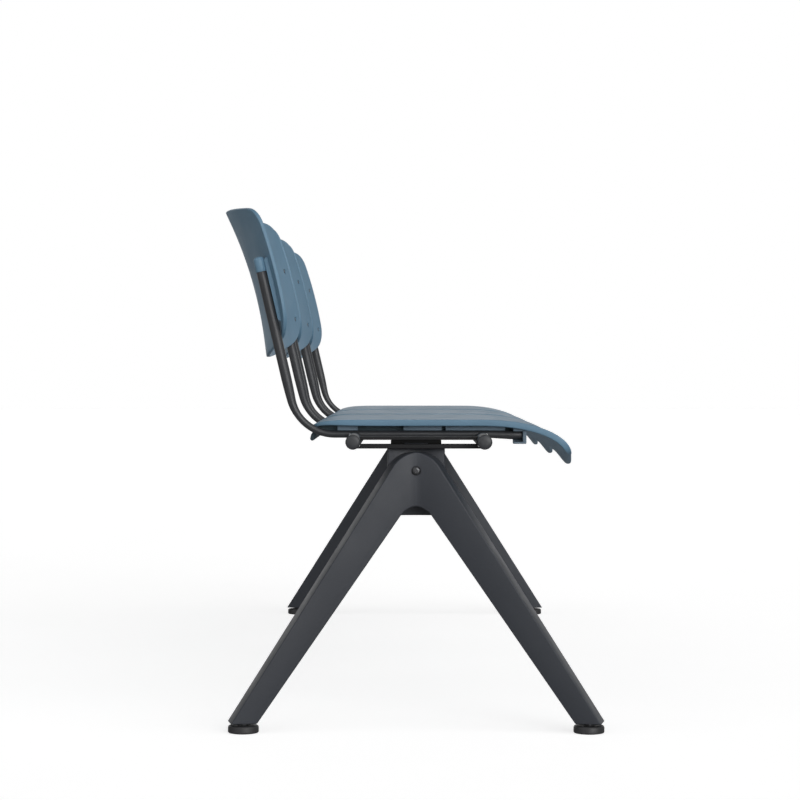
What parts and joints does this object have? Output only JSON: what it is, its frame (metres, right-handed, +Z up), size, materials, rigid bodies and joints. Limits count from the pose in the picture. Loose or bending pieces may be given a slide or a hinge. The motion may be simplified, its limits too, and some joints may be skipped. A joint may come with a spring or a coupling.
{
  "type": "beam seating",
  "caption": "Row of moulded chairs with curved backrests on bent side rods, carried by round beams and a folded A-shaped leg at each end, for waiting areas.",
  "frame": {"origin": "on the floor, under the middle of the row's length and of its depth", "axes": "+X along the row, -Y the way a sitter faces, +Z up"},
  "size_m": [1.835, 0.5798, 0.7805],
  "materials": {
    "blue_plastic": "fine satin moulding, grey blue",
    "leg_paint": "satin powder coat, dark grey",
    "frame_paint": "satin powder coat, near black",
    "glide_plastic": "matt moulding, near black",
    "dark_steel": "blackened steel"
  },
  "bodies": {
    "frame": {"back_screw_1_left_lower": "dark_steel", "back_screw_1_left_upper": "dark_steel", "back_screw_1_right_lower": "dark_steel", "back_screw_1_right_upper": "dark_steel", "back_screw_2_left_lower": "dark_steel", "back_screw_2_left_upper": "dark_steel", "back_screw_2_right_lower": "dark_steel", "back_screw_2_right_upper": "dark_steel", "back_screw_3_left_lower": "dark_steel", "back_screw_3_left_upper": "dark_steel", "back_screw_3_right_lower": "dark_steel", "back_screw_3_right_upper": "dark_steel", "backrest_1": "blue_plastic", "backrest_2": "blue_plastic", "backrest_3": "blue_plastic", "bar_spacer_left": "frame_paint", "bar_spacer_right": "frame_paint", "beam_cap_front_left": "frame_paint", "beam_cap_front_right": "frame_paint", "beam_cap_rear_left": "frame_paint", "beam_cap_rear_right": "frame_paint", "beam_front": "frame_paint", "beam_rear": "frame_paint", "leg_bolt_left": "dark_steel", "leg_bolt_right": "dark_steel", "leg_bracket_left": "frame_paint", "leg_bracket_right": "frame_paint", "leg_left": "leg_paint", "leg_nut_left": "dark_steel", "leg_nut_right": "dark_steel", "leg_right": "leg_paint", "lower_bar_left": "frame_paint", "lower_bar_right": "frame_paint", "rod_1_left": "frame_paint", "rod_1_right": "frame_paint", "rod_2_left": "frame_paint", "rod_2_right": "frame_paint", "rod_3_left": "frame_paint", "rod_3_right": "frame_paint", "seat_1": "blue_plastic", "seat_2": "blue_plastic", "seat_3": "blue_plastic", "seat_screw_1_left": "dark_steel", "seat_screw_1_right": "dark_steel", "seat_screw_2_left": "dark_steel", "seat_screw_2_right": "dark_steel", "seat_screw_3_left": "dark_steel", "seat_screw_3_right": "dark_steel", "upper_bar_left": "frame_paint", "upper_bar_right": "frame_paint"},
    "glide_front_left": {"glide_pad_front_left": "glide_plastic", "glide_stud_front_left": "dark_steel"},
    "glide_front_right": {"glide_pad_front_right": "glide_plastic", "glide_stud_front_right": "dark_steel"},
    "glide_rear_left": {"glide_pad_rear_left": "glide_plastic", "glide_stud_rear_left": "dark_steel"},
    "glide_rear_right": {"glide_pad_rear_right": "glide_plastic", "glide_stud_rear_right": "dark_steel"}
  },
  "joints": [
    {"name": "glide_front_left_screw", "type": "slide", "parent": "frame", "child": "glide_front_left", "axis": [0, 0, -1], "range_m": [0, 0.012]},
    {"name": "glide_front_right_screw", "type": "slide", "parent": "frame", "child": "glide_front_right", "axis": [0, 0, -1], "range_m": [0, 0.012]},
    {"name": "glide_rear_left_screw", "type": "slide", "parent": "frame", "child": "glide_rear_left", "axis": [0, 0, -1], "range_m": [0, 0.012]},
    {"name": "glide_rear_right_screw", "type": "slide", "parent": "frame", "child": "glide_rear_right", "axis": [0, 0, -1], "range_m": [0, 0.012]}
  ]
}
